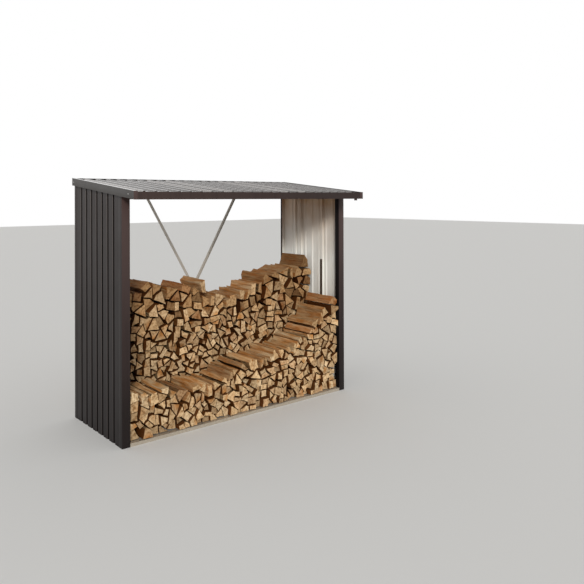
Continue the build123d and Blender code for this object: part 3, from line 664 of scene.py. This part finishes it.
for node in ("left_verge_trim", "right_verge_trim", "rear_trim"):
    shape = copy_of(node)
    # Their top faces get the pale paint, a painted highlight.
    for face in shape.faces:
        face.material_index = 1 if face.normal.z > mostly else 0
    for vert in shape.verts:
        if node != "rear_trim" and abs(vert.co.x) > verge_edge:
            vert.co.x = math.copysign(verge_face, vert.co.x)
    eased(shape, fold_radius, wanted=lambda edge: edge.calc_length() > shortest_fold)
    smooth_but_for_edges(shape)
    place_piece(shape, f"{node}_work", [verge_paint, seam_paint], (node,))
print("brown steelwork", len(brown_work) + 3, "pieces")

# %% [markdown]
# ## Roof sheets
#
# Three ribbed sheets lie side by side and overlap over the rafters. The ribs beside the two overlaps and the
# strips along the verges get a second, pale paint, a painted highlight; everything else keeps the sheet's
# own tone. Only a narrow channel right beside each verge is dark, a painted shade.

# %% Roof sheets
rib_pitch = 0.095
rib_half_width = 0.0125
highlight_ribs = (3, 5)
edge_strip = 1.045
edge_gutter = 1.106
for place in ("left", "middle", "right"):
    node = f"{place}_roof_panel"
    shape = copy_of(node)
    for cut_x in (-edge_gutter, edge_gutter):
        parts = shape.faces[:] + shape.edges[:]
        bmesh.ops.bisect_plane(shape, geom=parts, plane_co=(cut_x, 0.0, 0.0), plane_no=(1.0, 0.0, 0.0))
    for face in shape.faces:
        across = abs(face.calc_center_median().x)
        rib = round(across / rib_pitch)
        on_rib = abs(across - rib * rib_pitch) < rib_half_width
        # Ribs beside the overlaps and strips along the verges get the pale paint, a painted highlight.
        highlighted = across > edge_strip or (on_rib and rib in highlight_ribs)
        face.material_index = 1 if highlighted and face.normal.z > slant else 0
        # The channel beside each verge gets the darker wall paint, a painted shade.
        if across > edge_gutter:
            face.material_index = 2
    smooth_but_for_edges(shape, degrees=20.0)
    place_piece(shape, f"{place}_roof_sheet", [roof_paint, seam_paint, wall_paint], (node,))
print("roof sheets dressed")

# %% [markdown]
# ## Finishes on the CAD's own nodes
#
# Rails, stiffeners, rafters, braces, sill and gutter are plain folded sections, and the CAD's faces show
# them as they are. They keep their shape and get only a finish, by their slot in the record or, where
# weather or painted light gives them another tone, by their name.

# %% Carried nodes keep their shape and get a finish
finish_of = {
    "coated_steel": front_paint,
    "pale_steel": offwhite_paint,
    "galvanised_steel": zinc,
    "split_wood": end_wood,
}
special_finish = {
    "front_sill": old_zinc,
    "log_bearers": old_zinc,
    "left_brace": brace_zinc,
    "right_brace": brace_zinc,
    "left_wall_strip": strip_paint,
    "right_wall_strip": strip_paint,
    "front_gutter": fascia_paint,
}
slot_of = {part["node"]: part["material_slot"] for part in frame["record"]["subparts"]}
for name, node in frame["nodes"].items():
    node.data.materials.clear()
    node.data.materials.append(special_finish.get(name, finish_of[slot_of[name]]))
print("finishes on", len(frame["nodes"]), "nodes")

# %% [markdown]
# ## Screws, rivets and bolts
#
# Thin sheet is held by self-drilling screws: a hexagon with a round flange under it, painted like the
# sheet. The trims are riveted, and each brace hangs on a bolt at either end. One short profile, turned
# about its axis, gives the head of each kind. Copies of it are set with their axis square to the sheet.

# %% Heads
def spun_profile(profile, turns):
    """A closed head made by turning a profile of (radius, height) about its axis."""
    head = bmesh.new()
    last = None
    for radius, height in profile:
        vert = head.verts.new((radius, 0.0, height))
        if last is not None:
            head.edges.new((last, vert))
        last = vert
    bmesh.ops.spin(
        head,
        geom=head.verts[:] + head.edges[:],
        cent=(0.0, 0.0, 0.0),
        axis=(0.0, 0.0, 1.0),
        dvec=(0.0, 0.0, 0.0),
        angle=2.0 * math.pi,
        steps=turns,
        use_merge=True,
        use_duplicate=False,
    )
    bmesh.ops.remove_doubles(head, verts=head.verts, dist=same_place)
    bmesh.ops.recalc_face_normals(head, faces=head.faces)
    return head


def screw_head(flange=0.0062, across=0.004, tall=0.0028):
    """A hexagon head on its flange, with the flange's face at height zero."""
    rim = 0.0005
    crown = 0.0009
    foot = 0.0006
    taper = 0.92
    profile = [(0.0, 0.0), (flange, 0.0), (flange, rim), (across, crown), (0.0, crown)]
    head = spun_profile(profile, 12)
    top = bmesh.ops.create_cone(
        head,
        segments=6,
        radius1=across,
        radius2=across * taper,
        depth=tall - foot,
        cap_ends=True,
        matrix=Matrix.Translation((0.0, 0.0, foot + (tall - foot) / 2.0)),
    )
    hexagon = list({face for vert in top["verts"] for face in vert.link_faces})
    bmesh.ops.recalc_face_normals(head, faces=hexagon)
    return head


def set_heads(name, head, spots, material):
    """One piece with a copy of a head at each spot, given as (place, direction it looks in)."""
    pattern = bpy.data.meshes.new("pattern")
    head.to_mesh(pattern)
    head.free()
    shape = bmesh.new()
    for place, look in spots:
        known = set(shape.verts)
        shape.from_mesh(pattern)
        fresh = [vert for vert in shape.verts if vert not in known]
        turn = Vector(look).to_track_quat("Z", "Y").to_matrix().to_4x4()
        bmesh.ops.transform(shape, matrix=Matrix.Translation(place) @ turn, verts=fresh)
    bpy.data.meshes.remove(pattern)
    smooth_but_for_edges(shape)
    print(name, len(spots), "heads,", len(shape.faces), "faces")
    return place_piece(shape, name, [material])


print("heads ready")

# %% [markdown]
# The wall screws go through the foot of the pans into the base rail. The roof screws go through the pans
# between the ribs in two rows, one over the front header and one just in front of the rear trim. Their
# heights are worked out from the roof's fall, so that every screw sits on the sheet.

# %% Screws in the walls and the roof
wall_face = 1.1235
wall_screw_height = 0.013
first_pan = -0.239
pan_pitch = 0.1015
pans = 8
wall_spots = [
    ((side * wall_face, first_pan + pan_pitch * index, wall_screw_height), (side, 0.0, 0.0))
    for side in (-1.0, 1.0)
    for index in range(pans)
]
set_heads("wall_screws", screw_head(), wall_spots, wall_paint)

roof_front = -0.566
roof_depth = 1.132
front_height = 1.872
back_height = 1.99
roof_rise = back_height - front_height
pan_drop = 0.0112
last_pan = 1.07
screw_rows = (-0.307, 0.518)
roof_up = Vector((0.0, -roof_rise / roof_depth, 1.0)).normalized()
roof_spots = []
for index in range(-11, 11):
    x = (index + 0.5) * rib_pitch
    if abs(x) < last_pan:
        for y in screw_rows:
            height = front_height + roof_rise * (y - roof_front) / roof_depth - pan_drop
            roof_spots.append(((x, y, height), roof_up))
set_heads("roof_screws", screw_head(), roof_spots, roof_paint)

# %% [markdown]
# The two braces are bolted to the rear rails at their ends, with the nut behind the rail, and to each other
# where they cross. Two blind rivets hold each verge trim. They are thin, and look only outwards.

# %% Bolts of the braces and rivets of the verges
left_brace_face = 0.5449
right_brace_face = 0.5426
rail_back = 0.5622
crossing_height = 0.988
brace_ends = ((0.539, 1.941), (-0.539, 0.0355))
forwards = (0.0, -1.0, 0.0)
backwards = (0.0, 1.0, 0.0)
bolt_spots = [((0.0, right_brace_face, crossing_height), forwards)]
nut_spots = []
for side, face_y in ((-1.0, left_brace_face), (1.0, right_brace_face)):
    for x, z in brace_ends:
        bolt_spots.append(((side * x, face_y, z), forwards))
        nut_spots.append(((side * x, rail_back, z), backwards))
bolt_head = screw_head(0.009, 0.0065, 0.005)
nut = screw_head(0.009, 0.0065, 0.0035)
set_heads("brace_bolts", bolt_head, bolt_spots, zinc)
set_heads("brace_nuts", nut, nut_spots, zinc)

rivet_places = ((-0.479, 1.85), (0.54, 1.955))
rivet_spots = [
    ((side * verge_face, y, z), (side, 0.0, 0.0))
    for side in (-1.0, 1.0)
    for y, z in rivet_places
]
rivet = spun_profile([(0.0, 0.0), (0.0042, 0.0), (0.0034, 0.0003), (0.0, 0.0004)], 16)
set_heads("verge_rivets", rivet, rivet_spots, rivet_zinc)

# %% [markdown]
# ## Firewood
#
# The CAD lays each log as a straight prism in its place. Real split logs are not prisms: a saw cut is
# never quite square, the split surface wanders, and edges are crushed. So each node's copy is worked over
# as a whole: every log is pulled in a little, which opens the dark joints between the ends, its ends are
# tilted, its length is divided and bent slightly, and its edges are bevelled. Starting from the CAD's
# prisms keeps every log where the solid is.
#
# Each log draws its tone by chance. The logs high in the stack are browner and darker, painted shade of
# the roof. Those low down are fresher and more like each other, and a little darker at the left, painted
# shade of the wall.

# %% Tones of the wood
end_tones = [
    ((0.71, 0.50, 0.275), 6),
    ((0.79, 0.61, 0.38), 4),
    ((0.59, 0.39, 0.20), 6),
    ((0.49, 0.29, 0.145), 3),
    ((0.42, 0.27, 0.135), 3),
    ((0.29, 0.17, 0.08), 2),
]
hearts = (0.0, 0.2, 0.5, 1.0)
light_spread = 0.14
darkest = 0.65
lightest = 1.2
fresh_wood = (0.61, 0.45, 0.27)
fresh_on_top = 0.25
fresh_below = 0.5
# High in the stack the logs lose light, most in blue: painted shade of the roof.
roof_shade_loss = (0.31, 0.375, 0.43)
roof_shade_from = 0.62
roof_shade_over = 0.28
# Low down at the left the logs are a little darker: painted shade of the wall.
left_from = -0.2
left_over = 0.6
wall_shade_loss = 0.12
low_loss = 0.08


def held(value):
    """A value held between zero and one."""
    return min(max(value, 0.0), 1.0)


def pick_tone(place, on_top, dice):
    """A log's colour and how strong its heart shows: browner high up as painted roof shade, fresher and more
    even low down, and a little darker low at the left as painted wall shade.
    """
    tone = dice.choices([colour for colour, _ in end_tones], [share for _, share in end_tones])[0]
    light = min(max(dice.gauss(1.0, light_spread), darkest), lightest)
    heart = dice.choice(hearts)
    roof_shaded = held((place.z - roof_shade_from) / roof_shade_over)
    low_down = 1.0 - roof_shaded
    freshness = low_down * (fresh_on_top if on_top else fresh_below)
    tone = [channel + (fresh - channel) * freshness for channel, fresh in zip(tone, fresh_wood)]
    leftward = held((left_from - place.x) / left_over)
    light = min(light, lightest - low_loss * low_down) * (1.0 - wall_shade_loss * low_down * leftward)
    shares = [light * (1.0 - roof_shaded * loss) for loss in roof_shade_loss]
    return [channel * share for channel, share in zip(tone, shares)] + [heart]


print("tones", len(end_tones))

# %% [markdown]
# The helpers below work on one log. The split sides are drawn in unevenly, because no two logs of a real
# stack lie flush. The bark is on the blunt side of the wedge, and the pith is opposite it, since a round
# log is split through its heart.

# %% Helpers for one log
drawn_in = (0.5, 2.1)
most_drawn_in = 0.35
narrowest = 0.35


def islands(shape):
    """The vertices of each log in a mesh of many logs."""
    seen = set()
    for start in shape.verts:
        if start in seen:
            continue
        found = {start}
        rim = {start}
        while rim:
            rim = {edge.other_vert(vert) for vert in rim for edge in vert.link_edges} - found
            found |= rim
        seen |= found
        yield sorted(found, key=lambda vert: (vert.co.y, vert.co.x, vert.co.z))


def is_end(face):
    """Whether a face is a sawn end."""
    return abs(face.normal.y) > mostly


def pull_in(verts, gap, dice):
    """Move a log's long sides in by about a gap, unevenly from corner to corner."""
    moves = {}
    for vert in verts:
        first, second = [face.normal.copy() for face in vert.link_faces if not is_end(face)][:2]
        moves[vert] = -(first + second) * gap / max(1.0 + first.dot(second), narrowest)
    middle = sum((vert.co for vert in verts), Vector()) / len(verts)
    for vert, move in moves.items():
        to_middle = Vector((vert.co.x - middle.x, 0.0, vert.co.z - middle.z)).length
        move *= dice.uniform(*drawn_in)
        vert.co += move * min(1.0, most_drawn_in * to_middle / max(move.length, hair))


def corner_angle(face, vert):
    """Inner angle of an end face at one of its corners."""
    spot = list(face.verts).index(vert)
    before = face.verts[spot - 1].co - vert.co
    after = face.verts[(spot + 1) % len(face.verts)].co - vert.co
    return before.angle(after)


print("helpers for one log ready")

# %% Shape one log
end_index = 0
side_index = 1
bark_index = 2
blunt_angle = math.radians(104.0)
barked_share = 0.7
gap_spread = 2.3
gap_on_top = 2.0
pith_past_middle = (0.9, 1.4)
pith_aside = (0.03, 0.09)
skew_across = 0.10
skew_upwards = 0.12


def shape_log(verts, layers, on_top, least_gap, dice):
    """Give one log its gap, its skewed ends, its bark side, its tone and its pith."""
    faces = {face for vert in verts for face in vert.link_faces}
    ends = [face for face in faces if is_end(face)]
    front = min(ends, key=lambda face: face.calc_center_median().y)
    middle = front.calc_center_median()
    blunt = {vert for vert in front.verts if corner_angle(front, vert) > blunt_angle}
    has_bark = dice.random() < barked_share
    barked = []
    for face in faces:
        if is_end(face):
            face.material_index = end_index
        else:
            on_front = [vert for vert in face.verts if vert in front.verts]
            outside = has_bark and len(on_front) == 2 and all(vert in blunt for vert in on_front)
            face.material_index = bark_index if outside else side_index
            if outside:
                barked.append(face.calc_center_median())
    if barked:
        outer = sum(barked, Vector()) / len(barked)
        pith = middle + (middle - outer) * dice.uniform(*pith_past_middle)
    else:
        turn = dice.uniform(0.0, 2.0 * math.pi)
        pith = middle + Vector((math.cos(turn), 0.0, math.sin(turn))) * dice.uniform(*pith_aside)
    gap = least_gap * (1.0 + gap_spread * dice.random() ** 2)
    pull_in(verts, gap * (gap_on_top if on_top else 1.0), dice)
    tone = pick_tone(middle, on_top, dice)
    skews = [(dice.gauss(0.0, skew_across), dice.gauss(0.0, skew_upwards)) for _ in range(2)]
    length_middle = sum(vert.co.y for vert in verts) / len(verts)
    for vert in verts:
        skew = skews[0] if vert.co.y < length_middle else skews[1]
        vert.co.y += (vert.co.x - middle.x) * skew[0] + (vert.co.z - middle.z) * skew[1]
        vert[layers["tone"]] = tone
        vert[layers["pith"]] = pith


print("barked logs", barked_share)

# %% [markdown]
# A whole node is worked over at once. Cuts across the ends and along the logs give the sides vertices, and
# noise moves them: slowly all over, and finely on the logs on top, whose torn fibres show. The logs on top
# also carry daylight as an attribute, because the sides of all others are in deep joints and nearly dark.
# Each row has its own least gap, and its own chance that a log on top at the left is covered with bark.

# %% Helpers for a whole node of logs
bark_bow = (0.0, 0.0035)
split_bow = (-0.0045, 0.0012)
looks_up = 0.35


def rim_edges(shape):
    """Edges round the sawn ends."""
    return [edge for edge in shape.edges if len({is_end(face) for face in edge.link_faces}) == 2]


def bark_over(verts):
    """Cover the upper sides of a log with bark."""
    for face in {face for vert in verts for face in vert.link_faces}:
        if face.normal.z > looks_up and not is_end(face):
            face.material_index = bark_index


def bow_sides(shape, edges, dice):
    """Divide the rim's edges and bow every log's sides a little, bark outwards and split wood inwards."""
    made = bmesh.ops.subdivide_edges(shape, edges=edges, cuts=1, use_grid_fill=True)
    shape.normal_update()
    middles = [item for item in made["geom_inner"] if isinstance(item, bmesh.types.BMVert)]
    for vert in middles:
        side = max(vert.link_faces, key=lambda face: 1.0 - abs(face.normal.y))
        bows = bark_bow if side.material_index == bark_index else split_bow
        vert.co += side.normal * dice.uniform(*bows)


def lengthwise(shape):
    """Edges that aren't part of a sawn end."""
    return [edge for edge in shape.edges if all(not is_end(face) for face in edge.link_faces)]


def in_daylight(verts, layer):
    """Whether all of these vertices belong to logs on top."""
    return min(vert[layer] for vert in verts) > 0.5


print("helpers for a node ready")

# %% Work a whole node of logs over
row_looks = {"front": (0.0015, 0.0), "back": (0.0021, 0.2)}
shortest_length = 0.05
drift_scale = 13.0
drift_depth = 0.003
apart = 50.0
fibre_scale = Vector((70.0, 7.0, 70.0))
fibre_level = 0.25
fibre_depth = 0.005
crushed_edge = 0.0022


def dress_logs(node, shape, logs, on_top, seed):
    """Make each straight log of a copied node a split log."""
    dice = random.Random(seed)
    pith_layer = shape.verts.layers.float_vector["pith"]
    daylight_layer = shape.verts.layers.float["daylight"]
    layers = {"tone": shape.verts.layers.float_color["tone"], "pith": pith_layer}
    least_gap, bark_chance = row_looks[node.split("_")[0]]
    for index, verts in enumerate(logs):
        shape_log(verts, layers, index in on_top, least_gap, dice)
        at_left = max(vert.co.x for vert in verts) < 0.0
        if index in on_top and dice.random() < bark_chance * at_left:
            bark_over(verts)
        for vert in verts:
            vert[daylight_layer] = 1.0 if index in on_top else 0.0
    bow_sides(shape, rim_edges(shape), dice)
    open_rims = [edge for edge in rim_edges(shape) if in_daylight(edge.verts, daylight_layer)]
    bmesh.ops.subdivide_edges(shape, edges=open_rims, cuts=2, use_grid_fill=True)
    shape.normal_update()
    bmesh.ops.subdivide_edges(shape, edges=lengthwise(shape), cuts=2, use_grid_fill=True)
    open_length = [
        edge
        for edge in lengthwise(shape)
        if in_daylight(edge.verts, daylight_layer)
        and abs(edge.verts[0].co.y - edge.verts[1].co.y) > shortest_length
    ]
    bmesh.ops.subdivide_edges(shape, edges=open_length, cuts=2, use_grid_fill=True)
    shape.normal_update()
    for vert in shape.verts:
        place = vert.co.copy()
        if not any(is_end(face) for face in vert.link_faces):
            drift = noise.noise_vector(place * drift_scale + Vector(vert[pith_layer]) * apart)
            vert.co += Vector((drift.x, 0.0, drift.z)) * drift_depth
        if in_daylight([vert], daylight_layer):
            torn = noise.noise(place * fibre_scale)
            side = Vector((vert.normal.x, 0.0, vert.normal.z))
            vert.co += side * (torn - fibre_level) * fibre_depth
    eased(shape, crushed_edge, segments=1, least_angle=38.0)
    smooth_but_for_edges(shape, degrees=24.0)
    piece = place_piece(shape, f"{node}_split", [end_wood, side_wood, bark], (node,))
    print(node, len(logs), "logs,", len(piece.data.polygons), "faces")


print("rows", list(row_looks))

# %% [markdown]
# The logs on top are found by looking down on each row through narrow upright strips: the highest log of a
# strip is on top. Only they get torn fibres, wider gaps, daylight and sometimes bark over them, because
# their long sides show. That keeps the meshes of all the others light.

# %% Find the logs on top and dress both rows
strip_width = 0.01
least_share = 0.02


def strips(left, right):
    """Numbers of the narrow upright strips that a span covers."""
    return range(int(left // strip_width), int(right // strip_width) + 1)


def highest_logs(spans):
    """Of the logs of a row, those that are the highest over a part of their width."""
    highest = {}
    for key, left, right, height in spans:
        for spot in strips(left, right):
            if height > highest.get(spot, (0.0, None))[0]:
                highest[spot] = (height, key)
    found = set()
    for key, left, right, _ in spans:
        spots = strips(left, right)
        if sum(highest[spot][1] == key for spot in spots) > least_share * len(spots):
            found.add(key)
    return found


for row in ("front_row", "back_row"):
    shapes = {name: copy_of(name) for name in sorted(frame["nodes"]) if name.startswith(row)}
    for shape in shapes.values():
        shape.verts.layers.float_color.new("tone")
        shape.verts.layers.float_vector.new("pith")
        shape.verts.layers.float.new("daylight")
    logs_in = {name: list(islands(shape)) for name, shape in shapes.items()}
    spans = []
    for name, logs in logs_in.items():
        for index, verts in enumerate(logs):
            across = [vert.co.x for vert in verts]
            height = sum(vert.co.z for vert in verts) / len(verts)
            spans.append(((name, index), min(across), max(across), height))
    tops = highest_logs(spans)
    for seed, (name, shape) in enumerate(shapes.items()):
        on_top = {index for node, index in tops if node == name}
        dress_logs(name, shape, logs_in[name], on_top, seed)
    print(row, len(tops), "logs on top of", len(spans))

# %% [markdown]
# ## Sizes
#
# The visual model has to keep the CAD's size, so its box is measured here, like the CAD's box at the start.

# %% Sizes and end
visual_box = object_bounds()
[[list(corner) for corner in box] for box in (cad_box, visual_box)]
print("visual box", [tuple(round(v, 4) for v in corner) for corner in visual_box])
